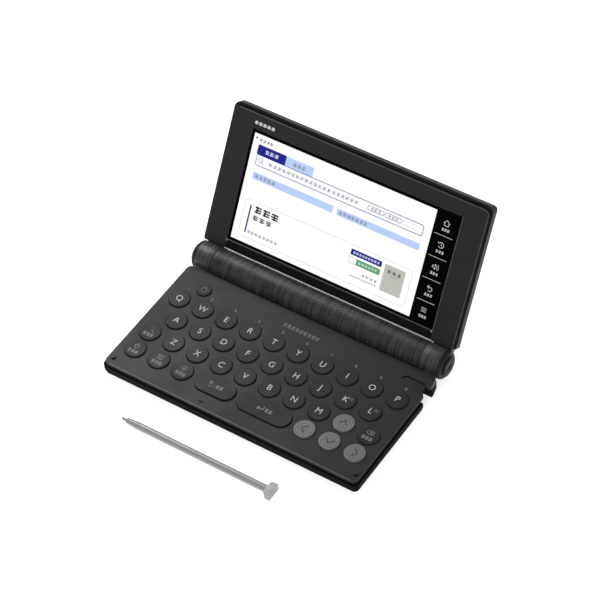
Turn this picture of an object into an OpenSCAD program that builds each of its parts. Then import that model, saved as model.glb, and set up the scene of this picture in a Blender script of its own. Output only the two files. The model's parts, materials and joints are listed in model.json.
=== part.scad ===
// Clamshell electronic dictionary: a pocket digital assistant with a QWERTY keyboard,
// a colour touch display on a friction hinge, and a stylus that lies in front of it.
// X runs to the right, Y to the back, Z up. The origin is on the table, under the middle
// of everything together, stylus included. The display stands open at its stored angle.

/* [Case] */
// Width of the lower case and of the display cover
case_w = 158; // [150:1:166]
// Distance from the front edge of the case to the hinge axis
hinge_setback = 87.8; // [86:0.2:92]
// Radius of the case's corners, seen from above
corner_r = 3.2; // [2:0.2:4]
// Height of the keyboard deck's top face above the table
deck_top = 8.9; // [8.8:0.1:9]
// Thickness of the deck's top plate
deck_t = 1.5; // [1.2:0.1:1.5]
// Set-back of the deck inside the lower case, all round
deck_inset = 1.0; // [0.6:0.1:1.4]

/* [Keys] */
// Distance between neighbouring keys in a row
key_pitch_x = 15.13; // [15:0.01:15.4]
// Distance between rows
key_pitch_y = 13.24; // [13:0.01:13.6]
// Radius of a round key
key_r = 5.85; // [5:0.05:6]
// How far a key stands above the deck
key_stand = 0.9; // [0.6:0.1:1]
// Radial gap round a key
key_gap = 0.25; // [0.2:0.05:0.3]
// Radius of the power key
power_r = 4.0; // [3.6:0.1:4.2]

/* [Hinge tube and batteries] */
// Outer radius of the hinge tube
tube_r = 8.2; // [8.2:0.1:8.3]
// Height of the hinge axis above the table
hinge_z = 9.3; // [9.3:0.1:9.5]
// Length of the fixed, ringed part of the tube
tube_len = 131; // [128:1:132]
// Radius of the bay that holds two AA cells
bay_r = 7.45; // [7.4:0.05:7.5]
// Radius of the hinge pins
pin_r = 1.95; // [1.5:0.05:2]
// Radial running clearance of the hinge pins
pin_fit = 0.05; // [0.03:0.01:0.08]

/* [Display] */
// Angle between the deck and the open display
open_angle = 121.5; // [110:0.5:130]
// Height of the display cover, from the hinge axis to its top edge
lid_h = 88; // [86:0.5:88.5]
// Distance from the hinge axis plane back to the bezel's front face
lid_front = 1.0; // [0.8:0.1:1.2]
// Width of the glass that shows inside the bezel
glass_w = 128.4; // [126:0.2:130]
// Lower edge of the glass that shows, from the hinge axis
glass_bottom = 14.2; // [13.8:0.1:14.6]
// Upper edge of the glass that shows, from the hinge axis
glass_top = 77.6; // [76:0.1:78]

/* [Stylus] */
// Radius of the stylus barrel
stylus_r = 2.0; // [1.8:0.1:2.1]
// Radius of the stylus silo in the case
silo_r = 2.2; // [2.15:0.05:2.2]
// Distance of the stylus in front of the case
stylus_gap = 20.5; // [12:0.5:30]
// Length of the stylus's cross-head
head_len = 8.6; // [8:0.2:8.8]

/* [Hidden] */
$fn = 64;
eps = 0.01;

// heights of the stack inside the lower case
foot_t = 0.8;
tier_z = 3.2;      // top of the set-in lower tier
seam_z = 6.4;      // joint between the lower case and the deck
floor_top = 1.8;
board_z = 3.3;
board_t = 1.0;
sheet_t = 0.6;
dome_h = 0.8;
key_base = 6.6;    // underside of a key at rest
flange_t = 0.5;
flange_w = 0.75;
key_top = deck_top + key_stand;
deck_under = deck_top - deck_t;

wall = 1.8;
tier_inset = 0.8;
deck_depth = 78.9; // front edge to the rear edge of the case and deck
trough_end = 83.4;

// display stack, as distances in front of the hinge axis plane (negative is behind it)
bezel_front = -lid_front;
bezel_top = lid_h - 2;
bezel_back = bezel_front - 1.8;
glass_front = bezel_front - 0.9;
cover_back = -tube_r;
cover_t = 1.2;
lid_foot = tube_r + 0.4;   // lower edge of the display, clear of the tube
knuckle_in = tube_len / 2 + 0.3;
knuckle_out = case_w / 2 - 0.6;
knuckle_edge_r = 2.4;
cover_edge_r = 1.8;
lid_foot_r = 0.8;

// the whole is centred front to back over the origin
lid_reach = (lid_h - cover_edge_r) * sin(open_angle - 90)
          + (tube_r - cover_edge_r) * cos(open_angle - 90) + cover_edge_r;
stylus_reach = stylus_gap + head_len / 2;
front_y = (stylus_reach - hinge_setback - lid_reach) / 2;
hinge_y = front_y + hinge_setback;

// keys
row_y = [55.94, 55.94 - key_pitch_y, 55.94 - 2 * key_pitch_y, 55.94 - 3 * key_pitch_y];
col_x = -68.3;
half = 0.5;
// name, row, column in key pitches
ROUND_KEYS = concat(
    [for (i = [0:9]) [["key_q", "key_w", "key_e", "key_r", "key_t",
                       "key_y", "key_u", "key_i", "key_o", "key_p"][i], 0, i]],
    [for (i = [0:8]) [["key_a", "key_s", "key_d", "key_f", "key_g",
                       "key_h", "key_j", "key_k", "key_l"][i], 1, i + half]],
    [for (i = [0:9]) [["key_search", "key_z", "key_x", "key_c", "key_v", "key_b",
                       "key_n", "key_m", "key_up", "key_delete"][i], 2, i]],
    [for (i = [0:2]) [["key_shift", "key_list", "key_zoom"][i], 3, i]],
    [for (i = [0:2]) [["key_left", "key_down", "key_right"][i], 3, i + 7]]
);
// name, row, x of the first and last end centre
WIDE_KEYS = [["key_back", 3, -23.5, -11.15], ["key_enter", 3, 3.0, 23.3]];
power_at = [-60.3, 67.4];

// places measured from the middle of the case and from its front edge
silo_at = 67.1;
silo_z = 4.6;
silo_mouth = 72;
silo_end = -20.5;
recess_y = [62.6, 71.7];
notch_x = 75.2;
screw_at = [[-71, 5], [71, 5], [-73.5, 74.3], [69.5, 74.5]];
lug_x = 25;
lug_y = 75;
standoff_at = [[-52, 12], [0, 12], [52, 12], [-52, 60], [5, 60], [52, 60]];
jack_at = 67.7;
jack_z = 4.0;
jack_r = 1.8;
jack_nozzle_r = 2.2;
jack_in = -66;
usb_at = 46;
usb_z = 5.7;
speaker_x = 48;
speaker_y = 73.6;
foot_at = [62, 10];
rear_foot_x = 58.5;
bumper_at = [75, 6.1];
mic_at = [-18.4, 4.7];

// battery cover: the part of the tube wall between these angles, 0 pointing back
door_from = -120;
door_to = 30;
door_half = 51.2;
door_slack = 2;
bay_half = 52.4;
socket_from = 53.6;
cell_r = 7.15;
cell_len = 49.1;
nub_len = 1.0;
cell_apart = 0.05;
sleeve_r = 5.0;

PLAIN_NODES = [
    "bottom_case", "keyboard_deck", "key_membrane", "main_board", "speaker", "usb_socket",
    "earphone_jack", "stylus_sleeve", "battery_tube", "battery_cover", "batteries",
    "battery_contacts", "torque_sleeves", "hinge_pins", "display_back_cover",
    "display_bezel", "lcd_panel", "touch_glass", "stylus", "rubber_feet", "deck_bumpers",
    "case_screws"
];

shell_black = [0.20, 0.20, 0.22];
key_black = [0.17, 0.17, 0.19];
arrow_grey = [0.40, 0.40, 0.41];
steel = [0.72, 0.72, 0.74];

// ---- helpers ----

function key_x(column) = col_x + column * key_pitch_x;

// places children at x and at a distance back from the case's front edge
module at(x, from_front, z = 0) {
    translate([x, front_y + from_front, z]) children();
}

// display coordinates: x along the hinge, y up the display, z out of its face
module on_lid() {
    translate([0, hinge_y, hinge_z]) rotate([180 - open_angle, 0, 0]) children();
}

// hinge coordinates: z along the hinge to the right, x to the back, y up
module on_hinge() {
    translate([0, hinge_y, hinge_z]) rotate([90, 0, 90]) children();
}

// the same shape at both ends of the hinge or at both sides of the case
module both_sides() {
    children();
    mirror([1, 0, 0]) children();
}

// rectangle from corner a to corner b with true round corners
module round_rect(a, b, r) {
    translate([a[0] + r, a[1]]) square([b[0] - a[0] - 2 * r, b[1] - a[1]]);
    translate([a[0], a[1] + r]) square([b[0] - a[0], b[1] - a[1] - 2 * r]);
    for (x = [a[0] + r, b[0] - r], y = [a[1] + r, b[1] - r]) translate([x, y]) circle(r);
}

// block of that outline between two heights, measured from the case's front edge
module slab(half_w, y0, y1, z0, z1, r) {
    at(0, 0, z0) linear_extrude(z1 - z0) round_rect([-half_w, y0], [half_w, y1], r);
}

// plain block measured from the case's front edge
module block(x0, x1, y0, y1, z0, z1) {
    at(x0, y0, z0) cube([x1 - x0, y1 - y0, z1 - z0]);
}

// upright cylinder measured from the case's front edge
module post(x, from_front, z0, z1, r) {
    at(x, from_front, z0) cylinder(h = z1 - z0, r = r);
}

// cylinder along X between two ends, at a distance from the front edge and a height
module bar_x(x0, x1, from_front, z, r) {
    at(x0, from_front, z) rotate([0, 90, 0]) cylinder(h = x1 - x0, r = r);
}

// pie-slice outline between two angles
module sector(r, from, to) {
    steps = 6;
    polygon(concat([[0, 0]], [for (i = [0:steps])
        r * [cos(from + (to - from) * i / steps), sin(from + (to - from) * i / steps)]]));
}

// part of the tube wall between two angles, for a half-length along the hinge
module tube_wall(r_in, r_out, from, to, half_len) {
    intersection() {
        translate([0, 0, -half_len]) linear_extrude(2 * half_len) difference() {
            circle(r_out);
            circle(r_in);
        }
        translate([0, 0, -half_len - 1]) linear_extrude(2 * half_len + 2)
            sector(1.5 * tube_r, from, to);
    }
}

// ---- lower case ----

module stylus_head_recess(z0, z1) {
    block(silo_mouth, case_w / 2 + 1, recess_y[0], recess_y[1], z0, z1);
}

// slanted right side behind the recess, on the case and on the deck
module rear_corner_cut() {
    at(0, 0, 0) linear_extrude(12) polygon([
        [case_w / 2 - 0.4, recess_y[1]], [case_w / 2 + 1, recess_y[1]],
        [case_w / 2 + 1, deck_depth + 1], [case_w / 2 - 2.4, deck_depth + 1]
    ]);
}

module bottom_case() {
    lip = 1.4;
    color(shell_black) difference() {
        union() {
            difference() {
                union() {
                    slab(case_w / 2, 0, deck_depth, tier_z, seam_z, corner_r);
                    slab(case_w / 2 - tier_inset, tier_inset, deck_depth, foot_t, tier_z + eps,
                         corner_r - tier_inset);
                    block(-tube_len / 2, tube_len / 2, deck_depth - 4, trough_end, foot_t, seam_z);
                }
                slab(case_w / 2 - wall, wall, deck_depth - wall, floor_top, seam_z + 1, 1.6);
            }
            // walls round the recess for the stylus head
            block(silo_mouth, case_w / 2 - tier_inset, recess_y[0] - lip,
                  recess_y[1] + lip, foot_t, seam_z);
            block(silo_mouth - lip, silo_mouth + eps, recess_y[0] - 0.5,
                  recess_y[1] + 0.5, foot_t, seam_z);
            // screw bosses and board stand-offs
            for (p = screw_at) post(p[0], p[1], foot_t, board_z - 0.1, 3);
            for (s = [-1, 1]) post(s * lug_x, lug_y, foot_t, board_z + 0.1, 2.6);
            for (p = standoff_at) post(p[0], p[1], floor_top - eps, board_z, 1.5);
        }
        stylus_head_recess(0, seam_z + 1);
        rear_corner_cut();
        // seat of the hinge tube
        bar_x(-case_w, case_w, hinge_setback, hinge_z, tube_r + 0.05);
        // slots for the tube's lugs
        for (s = [-1, 1]) block(s * lug_x - 4.2, s * lug_x + 4.2, deck_depth - 3, trough_end,
                                board_z + 0.1, board_z + 2.1);
        // screw heads and shanks
        for (p = screw_at) {
            post(p[0], p[1], 0, floor_top + 0.2, 2.1);
            post(p[0], p[1], 0, seam_z, 1.05);
        }
        for (s = [-1, 1]) {
            post(s * lug_x, lug_y, 0, floor_top + 0.2, 2.1);
            post(s * lug_x, lug_y, 0, seam_z, 1.05);
        }
        // silo, earphone and cable openings
        bar_x(silo_mouth - 2, silo_mouth + 1, silo_at, silo_z, silo_r + 0.55);
        bar_x(-case_w / 2 - 1, -case_w / 2 + 3, jack_at, jack_z, jack_nozzle_r + 0.05);
        block(-case_w / 2 - 1, -case_w / 2 + 3, usb_at - 4, usb_at + 4, board_z + board_t, 9);
        // sound slots under the speaker
        for (i = [-3:3]) block(speaker_x + 3 * i - 0.5, speaker_x + 3 * i + 0.5,
                               speaker_y - 1.8, speaker_y + 1.8, 0, floor_top + 1);
    }
}

module scoop() {
    // shallow slope, rounded towards the front, that lets a fingertip reach the stylus head
    start = [61.8, 66.6];
    heading = 25;
    bend_r = 120;
    intersection() {
        at(0, 0, deck_under) linear_extrude(4)
            round_rect([start[0], 40], [100, recess_y[1]], corner_r);
        at(start[0], start[1], deck_top - bend_r) rotate([0, 0, -heading])
            for (slope = [1:5]) rotate([-slope, 0, 0])
                translate([-20, -10, bend_r]) cube([70, 40, 5]);
    }
}

module keyboard_deck() {
    half_w = case_w / 2 - deck_inset;
    skirt = 1.8;
    color(shell_black) difference() {
        union() {
            difference() {
                slab(half_w, deck_inset, deck_depth, seam_z, deck_top, corner_r - 0.2);
                slab(half_w - skirt, deck_inset + skirt, deck_depth - skirt,
                     seam_z - 1, deck_under, 1.4);
            }
            for (p = screw_at) post(p[0], p[1], board_z + 0.1, deck_under + eps, 2.4);
        }
        for (k = ROUND_KEYS) post(key_x(k[2]), row_y[k[1]], 0, 12, key_r + key_gap);
        for (k = WIDE_KEYS) wide_prism(k, 0, 12, key_r + key_gap);
        post(power_at[0], power_at[1], 0, 12, power_r + key_gap);
        for (p = screw_at) post(p[0], p[1], 0, seam_z + 0.6, 1.0);
        for (s = [-1, 1]) post(s * bumper_at[0], bumper_at[1], 0, 12, 1.0);
        block(mic_at[0] - 1.5, mic_at[0] + 1.5, mic_at[1] - 0.4, mic_at[1] + 0.4, 0, 12);
        block(-case_w / 2 - 1, -case_w / 2 + 4, usb_at - 4, usb_at + 4, 0, deck_under);
        stylus_head_recess(0, deck_under);
        scoop();
        // slanted cut over the front of the recess
        at(0, 0, 0) linear_extrude(12) polygon([
            [case_w / 2 + 1, recess_y[0] - 0.4], [notch_x, recess_y[1] - 3.5],
            [notch_x, recess_y[1]], [case_w / 2 + 1, recess_y[1]]
        ]);
        rear_corner_cut();
    }
}

module rubber_feet() {
    color([0.1, 0.1, 0.1]) {
        for (s = [-1, 1]) post(s * foot_at[0], foot_at[1], 0, foot_t, 4);
        difference() {
            for (s = [-1, 1]) at(s * rear_foot_x - 5, hinge_setback - 2.5) cube([10, 5, 2.5]);
            bar_x(-case_w, case_w, hinge_setback, hinge_z, tube_r + 0.03);
        }
    }
}

module deck_bumpers() {
    dome_r = 1.4;
    color([0.08, 0.08, 0.08]) for (s = [-1, 1]) {
        post(s * bumper_at[0], bumper_at[1], deck_under, deck_top + eps, 1.0);
        post(s * bumper_at[0], bumper_at[1], deck_top, key_top, dome_r);
    }
}

module case_screws() {
    color(steel) {
        for (p = screw_at) machine_screw(p, 7);
        for (s = [-1, 1]) machine_screw([s * lug_x, lug_y], board_z + 1.6);
    }
}

// screw from below, with a cross-recess drawn as one slot
module machine_screw(p, tip) {
    head_from = foot_t + 0.2;
    difference() {
        union() {
            post(p[0], p[1], head_from, floor_top + 0.2, 1.9);
            post(p[0], p[1], floor_top, tip, 0.95);
        }
        block(p[0] - 1.3, p[0] + 1.3, p[1] - 0.25, p[1] + 0.25, 0, head_from + 0.5);
        block(p[0] - 0.25, p[0] + 0.25, p[1] - 1.3, p[1] + 1.3, 0, head_from + 0.5);
    }
}

// ---- electronics ----

// corner of the board and of the membrane left free for the walls of the stylus recess
module recess_clearance() {
    block(silo_mouth - 1.7, case_w / 2, recess_y[0] - 1.7, 80, 0, 12);
}

module main_board() {
    chip_from = floor_top + 0.3;
    color([0.05, 0.30, 0.16]) difference() {
        union() {
            block(-72.5, 72.5, 8.5, 63.2, board_z, board_z + board_t);
            block(-64.8, -21, 63, 72.2, board_z, board_z + board_t);
            block(-76.6, -72, usb_at - 4.4, usb_at + 4.4, board_z, board_z + board_t);
        }
        for (p = standoff_at) post(p[0], p[1], board_z, board_z + board_t + 1, 0.7);
        recess_clearance();
    }
    // processor, memory, sound and power chips on the underside
    color([0.12, 0.12, 0.13]) {
        block(-30, -16, 30, 44, chip_from, board_z);
        block(-8, 4, 28, 46, chip_from, board_z);
        block(14, 22, 34, 42, chip_from, board_z);
        block(-60, -54, 30, 38, chip_from, board_z);
        block(36, 46, 28, 36, chip_from, board_z);
    }
}

module key_membrane() {
    sheet_z = board_z + board_t;
    dome_r = 2.6;
    color([0.55, 0.56, 0.58]) {
        difference() {
            block(-72, 72, 9, 62.6, sheet_z, sheet_z + sheet_t);
            recess_clearance();
        }
        block(-64.8, -55, 62, 72, sheet_z, sheet_z + sheet_t);
        for (k = ROUND_KEYS)
            post(key_x(k[2]), row_y[k[1]], sheet_z, sheet_z + sheet_t + dome_h, dome_r);
        for (k = WIDE_KEYS)
            post((k[2] + k[3]) / 2, row_y[k[1]], sheet_z, sheet_z + sheet_t + dome_h, dome_r);
        post(power_at[0], power_at[1], sheet_z, sheet_z + sheet_t + dome_h, dome_r);
    }
}

module speaker() {
    color([0.15, 0.15, 0.16]) {
        block(speaker_x - 12, speaker_x + 12, speaker_y - 2.9, speaker_y + 2.9,
              floor_top, floor_top + 2.6);
        block(speaker_x - 9, speaker_x + 9, speaker_y - 1.9, speaker_y + 1.9,
              floor_top + 2.5, floor_top + 3.2);
    }
}

module usb_socket() {
    outer = -case_w / 2 + 0.3;
    color(steel) difference() {
        block(outer, outer + 5.6, usb_at - 3.9, usb_at + 3.9, usb_z - 1.4, usb_z + 1.4);
        block(outer - 1, outer + 4.8, usb_at - 3.5, usb_at + 3.5, usb_z - 1.05, usb_z + 1.05);
    }
    color([0.1, 0.1, 0.1])
        block(outer + 0.6, outer + 5, usb_at - 1.9, usb_at + 1.9, usb_z - 0.3, usb_z + 0.3);
}

module earphone_jack() {
    outer = -case_w / 2;
    color([0.1, 0.1, 0.1]) difference() {
        union() {
            block(outer + wall + 0.1, jack_in + 0.9, jack_at - 3.1, jack_at + 3.1,
                  jack_z - 2.1, jack_z + 2.2);
            bar_x(outer, outer + wall + 1, jack_at, jack_z, jack_nozzle_r);
        }
        bar_x(outer - 1, jack_in, jack_at, jack_z, jack_r);
    }
}

module stylus_sleeve() {
    color([0.2, 0.2, 0.21]) difference() {
        bar_x(silo_end, silo_mouth, silo_at, silo_z, silo_r + 0.5);
        bar_x(silo_end + 0.8, silo_mouth + 1, silo_at, silo_z, silo_r);
    }
}

// ---- hinge tube ----

module battery_tube() {
    color(shell_black) {
        on_hinge() difference() {
            translate([0, 0, -tube_len / 2]) cylinder(h = tube_len, r = tube_r);
            translate([0, 0, -bay_half]) cylinder(h = 2 * bay_half, r = bay_r);
            for (s = [-1, 1]) translate([0, 0, s * (socket_from + tube_len) / 2])
                cylinder(h = tube_len - socket_from, r = sleeve_r, center = true);
            translate([0, 0, -door_half - 0.3]) linear_extrude(2 * door_half + 0.6)
                sector(2 * tube_r, door_from - door_slack, door_to + door_slack);
        }
        // lugs that screw down inside the lower case
        difference() {
            for (s = [-1, 1]) block(s * lug_x - 4, s * lug_x + 4, lug_y - 2.4,
                                    hinge_setback - 6.2, board_z + 0.3, board_z + 1.9);
            for (s = [-1, 1]) post(s * lug_x, lug_y, 0, 9, 1.0);
            bar_x(-case_w, case_w, hinge_setback, hinge_z, bay_r + 0.2);
        }
    }
}

module battery_cover() {
    color(shell_black) on_hinge()
        tube_wall(bay_r + 0.05, tube_r, door_from, door_to, door_half);
}

module batteries() {
    color([0.55, 0.42, 0.22]) on_hinge()
        for (start = [-cell_len - nub_len, cell_apart]) translate([0, 0, start]) {
            cylinder(h = cell_len, r = cell_r);
            cylinder(h = cell_len + nub_len, r = 2.75);
        }
}

module battery_contacts() {
    coil_turns = 3;
    color(steel) on_hinge() {
        for (s = [-1, 1]) translate([0, 0, s * (bay_half - 0.25)])
            cylinder(h = 0.5, r = 6.4, center = true);
        // conical spring at the negative end, button at the positive end
        for (i = [0:coil_turns - 1]) translate([0, 0, 0.7 - bay_half + 0.5 * i])
            rotate_extrude() translate([4.4 - 0.5 * i, 0]) circle(0.4, $fn = 24);
        translate([0, 0, cell_len + nub_len + 2 * cell_apart])
            cylinder(h = bay_half - cell_len - nub_len - 2 * cell_apart, r = 1.8);
    }
}

module torque_sleeves() {
    color(steel) on_hinge() both_ends() difference() {
        translate([0, 0, socket_from + 0.1])
            cylinder(h = tube_len / 2 - socket_from - 0.3, r = sleeve_r - 0.02);
        translate([0, 0, socket_from]) cylinder(h = 20, r = pin_r + pin_fit);
    }
}

module hinge_pins() {
    color(steel) on_hinge() both_ends()
        translate([0, 0, socket_from + 0.6]) cylinder(h = 22.4, r = pin_r);
}

// hinge coordinates: the same shape at the right and the left end
module both_ends() {
    children();
    mirror([0, 0, 1]) children();
}

// ---- display ----

// cylinder on the hinge axis whose outer end has a round edge
module knuckle() {
    inner_r = tube_r - knuckle_edge_r;
    rotate([0, 90, 0]) {
        translate([0, 0, knuckle_in])
            cylinder(h = knuckle_out - knuckle_in - knuckle_edge_r, r = tube_r);
        translate([0, 0, knuckle_in]) cylinder(h = knuckle_out - knuckle_in, r = inner_r);
        translate([0, 0, knuckle_out - knuckle_edge_r])
            rotate_extrude() translate([inner_r, 0]) circle(knuckle_edge_r, $fn = 24);
    }
}

// outline of the display from its lower edge up, with small corners at the hinge
module lid_outline(half_w, top, top_r) {
    round_rect([-half_w, lid_foot], [half_w, top - top_r], lid_foot_r);
    round_rect([-half_w, lid_foot + 1], [half_w, top], top_r);
}

module display_back_cover() {
    half_w = case_w / 2;
    arm_out = knuckle_out - knuckle_edge_r;
    color(shell_black) on_lid() difference() {
        union() {
            intersection() {
                translate([0, 0, cover_back]) linear_extrude(bezel_back - cover_back)
                    lid_outline(half_w, lid_h, 4);
                // rounded back edge along the top
                rotate([90, 0, 90]) translate([0, 0, -half_w]) linear_extrude(2 * half_w) {
                    round_rect([-9, cover_back], [lid_h, 9], cover_edge_r);
                }
                // rounded back edges along the sides
                rotate([-90, 0, 0]) linear_extrude(lid_h)
                    round_rect([-half_w, -9], [half_w, -cover_back], cover_edge_r);
            }
            both_sides() {
                knuckle();
                translate([knuckle_in, 0, cover_back])
                    cube([arm_out - knuckle_in, lid_foot + eps, tube_r - 3]);
            }
        }
        // room for the display parts
        translate([0, 0, cover_back + cover_t]) linear_extrude(20)
            round_rect([-half_w + 1.6, lid_foot + 1.4], [half_w - 1.6, lid_h - 1.6], 2.4);
        // seats of the hinge pins
        both_sides() rotate([0, 90, 0]) translate([0, 0, knuckle_in - 1])
            cylinder(h = socket_from + 23 - knuckle_in + 1, r = pin_r);
    }
}

module display_bezel() {
    half_w = case_w / 2 - 1.2;
    half_glass = glass_w / 2;
    window_lip = 0.9;
    color(shell_black) on_lid() difference() {
        translate([0, 0, bezel_back]) linear_extrude(bezel_front - bezel_back)
            lid_outline(half_w, bezel_top, 3);
        // window, and the rebate behind it that the glass sits in
        translate([0, 0, bezel_back - 1]) linear_extrude(10)
            round_rect([-half_glass, glass_bottom], [half_glass, glass_top], 0.8);
        translate([0, 0, bezel_back - 1]) linear_extrude(1 + bezel_front - bezel_back - window_lip)
            round_rect([-half_glass - 1.5, glass_bottom - 1.5],
                       [half_glass + 1.5, glass_top + 1.5], 1.5);
    }
}

module touch_glass() {
    edge = 1.4;
    color([0.02, 0.02, 0.03]) on_lid() translate([0, 0, bezel_back])
        linear_extrude(glass_front - bezel_back)
            round_rect([-glass_w / 2 - edge, glass_bottom - edge],
                       [glass_w / 2 + edge, glass_top + edge], 1.4);
}

module lcd_panel() {
    color([0.75, 0.78, 0.85]) on_lid() translate([0, 0, bezel_back - 2.7])
        linear_extrude(2.6)
            round_rect([-glass_w / 2 - 0.6, glass_bottom - 2],
                       [glass_w / 2 + 0.6, glass_top + 1], 0.5);
}

// ---- stylus ----

module stylus() {
    nib_tip = -51.2;
    nib_r = 0.75;
    shoulder_from = -48;
    barrel_from = -40.5;
    head_from = 39;
    head_t = 4.1;
    head_h = 4.2;
    cut = 1.1;
    color([0.66, 0.66, 0.67]) at(0, -stylus_gap, head_h / 2) {
        rotate([0, 90, 0]) {
            translate([0, 0, nib_tip]) cylinder(h = 0.5, r1 = 0.4, r2 = nib_r);
            translate([0, 0, nib_tip + 0.5]) cylinder(h = 5, r = nib_r);
            translate([0, 0, shoulder_from]) cylinder(h = 0.4, r1 = 1.2, r2 = 1.5);
            translate([0, 0, shoulder_from + 0.4])
                cylinder(h = barrel_from - shoulder_from - 0.4 + eps, r1 = 1.5, r2 = stylus_r);
            translate([0, 0, barrel_from]) cylinder(h = head_from - barrel_from + eps, r = stylus_r);
        }
        // cross-head with cut corners
        translate([head_from, 0, -head_h / 2]) linear_extrude(head_h) polygon([
            [0, -head_len / 2 + cut], [cut, -head_len / 2], [head_t, -head_len / 2],
            [head_t, head_len / 2], [cut, head_len / 2], [0, head_len / 2 - cut]
        ]);
    }
}

// ---- keys ----

module round_key(x, from_front, r, colour) {
    edge = 0.35;
    color(colour) at(x, from_front) {
        translate([0, 0, key_base]) cylinder(h = flange_t, r = r + flange_w);
        translate([0, 0, key_base]) cylinder(h = key_top - edge - key_base, r = r);
        translate([0, 0, key_top - edge - eps]) cylinder(h = edge + eps, r1 = r, r2 = r - edge);
    }
}

module wide_prism(k, z0, z1, r) {
    post(k[2], row_y[k[1]], z0, z1, r);
    post(k[3], row_y[k[1]], z0, z1, r);
    block(k[2], k[3], row_y[k[1]] - r, row_y[k[1]] + r, z0, z1);
}

module wide_key(k) {
    color(key_black) {
        wide_prism(k, key_base, key_base + flange_t, key_r + flange_w);
        wide_prism(k, key_base, key_top, key_r);
    }
}

function is_arrow(name) = name == "key_up" || name == "key_left" || name == "key_down"
    || name == "key_right";

bottom_case();
keyboard_deck();
key_membrane();
main_board();
speaker();
usb_socket();
earphone_jack();
stylus_sleeve();
battery_tube();
battery_cover();
batteries();
battery_contacts();
torque_sleeves();
hinge_pins();
display_back_cover();
display_bezel();
lcd_panel();
touch_glass();
stylus();
rubber_feet();
deck_bumpers();
case_screws();
for (k = ROUND_KEYS) {
    round_key(key_x(k[2]), row_y[k[1]], key_r, is_arrow(k[0]) ? arrow_grey : key_black);
}
for (k = WIDE_KEYS) {
    wide_key(k);
}
round_key(power_at[0], power_at[1], power_r, key_black);  // key_power
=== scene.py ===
"""Looks of a clamshell electronic dictionary with a keyboard, a touch display and a stylus.

Blender works in metres. Sizes here are written in millimetres and multiplied by MM.
"""

import json
import math
import random

import bmesh
import bpy
from mathutils import Matrix, Vector


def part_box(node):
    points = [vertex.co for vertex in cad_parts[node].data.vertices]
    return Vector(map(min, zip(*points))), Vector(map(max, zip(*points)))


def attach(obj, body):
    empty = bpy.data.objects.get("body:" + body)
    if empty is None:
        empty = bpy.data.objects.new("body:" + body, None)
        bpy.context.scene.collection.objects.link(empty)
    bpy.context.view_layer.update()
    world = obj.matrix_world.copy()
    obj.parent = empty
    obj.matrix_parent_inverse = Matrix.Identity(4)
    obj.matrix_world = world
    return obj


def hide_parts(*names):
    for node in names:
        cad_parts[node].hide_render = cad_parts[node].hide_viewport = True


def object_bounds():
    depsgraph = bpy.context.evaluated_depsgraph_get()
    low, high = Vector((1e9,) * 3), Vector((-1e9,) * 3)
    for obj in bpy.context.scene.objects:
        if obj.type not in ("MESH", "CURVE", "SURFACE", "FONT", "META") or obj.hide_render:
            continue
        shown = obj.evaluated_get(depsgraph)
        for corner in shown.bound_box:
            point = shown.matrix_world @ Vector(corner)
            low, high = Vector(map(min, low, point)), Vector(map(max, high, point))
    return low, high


MM = 0.001

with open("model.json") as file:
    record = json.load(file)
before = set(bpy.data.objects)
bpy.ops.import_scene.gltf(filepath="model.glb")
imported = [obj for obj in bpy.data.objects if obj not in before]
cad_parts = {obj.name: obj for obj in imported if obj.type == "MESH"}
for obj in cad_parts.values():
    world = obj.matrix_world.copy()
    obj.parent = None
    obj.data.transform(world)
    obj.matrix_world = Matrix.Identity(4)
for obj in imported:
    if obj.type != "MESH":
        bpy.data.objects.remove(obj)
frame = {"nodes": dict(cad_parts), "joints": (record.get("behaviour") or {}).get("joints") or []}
cad_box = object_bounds()
nodes = frame["nodes"]

ROWS = ("qwertyuiop", "asdfghjkl", "zxcvbnm")
ARROWS = {"key_up": 90, "key_left": 180, "key_down": -90, "key_right": 0}
PLAIN_KEYS = [n for n in nodes if n.startswith("key_") and n != "key_membrane" and n not in ARROWS]
WIDE_KEYS = ("key_back", "key_enter")

# heights of printed layers above the surface that they lie on
PRINT_LIFT = 0.005 * MM
PRINT_T = 0.03 * MM


# ---- materials ----

def material(name, colour, roughness, metallic=0.0):
    """A node material with one Principled shader; returns it with its node tree and shader."""
    made = bpy.data.materials.new(name)
    made.use_nodes = True
    shader = made.node_tree.nodes["Principled BSDF"]
    shader.inputs["Base Color"].default_value = (*colour, 1)
    shader.inputs["Roughness"].default_value = roughness
    shader.inputs["Metallic"].default_value = metallic
    return made, made.node_tree, shader


def node(tree, kind, **settings):
    """Adds a node; settings name its sockets, with underscores for spaces, or its properties."""
    made = tree.nodes.new(kind)
    for key, value in settings.items():
        socket = key.replace("_", " ").title()
        if socket in made.inputs:
            made.inputs[socket].default_value = value
        else:
            setattr(made, key, value)
    return made


def object_noise(tree, size, detail=2.0):
    """Noise in object space whose lumps are about size metres across."""
    place = node(tree, "ShaderNodeTexCoord")
    noise = node(tree, "ShaderNodeTexNoise", scale=1 / size, detail=detail)
    tree.links.new(place.outputs["Object"], noise.inputs["Vector"])
    return noise.outputs["Fac"]


def mapped(tree, value, low, high):
    """The value's middle range spread from low to high."""
    spread = node(tree, "ShaderNodeMapRange", clamp=True)
    spread.inputs["From Min"].default_value = 0.3
    spread.inputs["From Max"].default_value = 0.7
    spread.inputs["To Min"].default_value = low
    spread.inputs["To Max"].default_value = high
    tree.links.new(value, spread.inputs["Value"])
    return spread.outputs["Result"]


def mottle(tree, shader, colour, amount, size):
    """Base colour that drifts a little lighter and darker."""
    mix = node(tree, "ShaderNodeMix", data_type="RGBA")
    tree.links.new(mapped(tree, object_noise(tree, size, 4), 0, 1), mix.inputs["Factor"])
    mix.inputs["A"].default_value = (*[c * (1 - amount) for c in colour], 1)
    mix.inputs["B"].default_value = (*[c * (1 + amount) for c in colour], 1)
    tree.links.new(mix.outputs["Result"], shader.inputs["Base Color"])
    return mix


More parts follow.
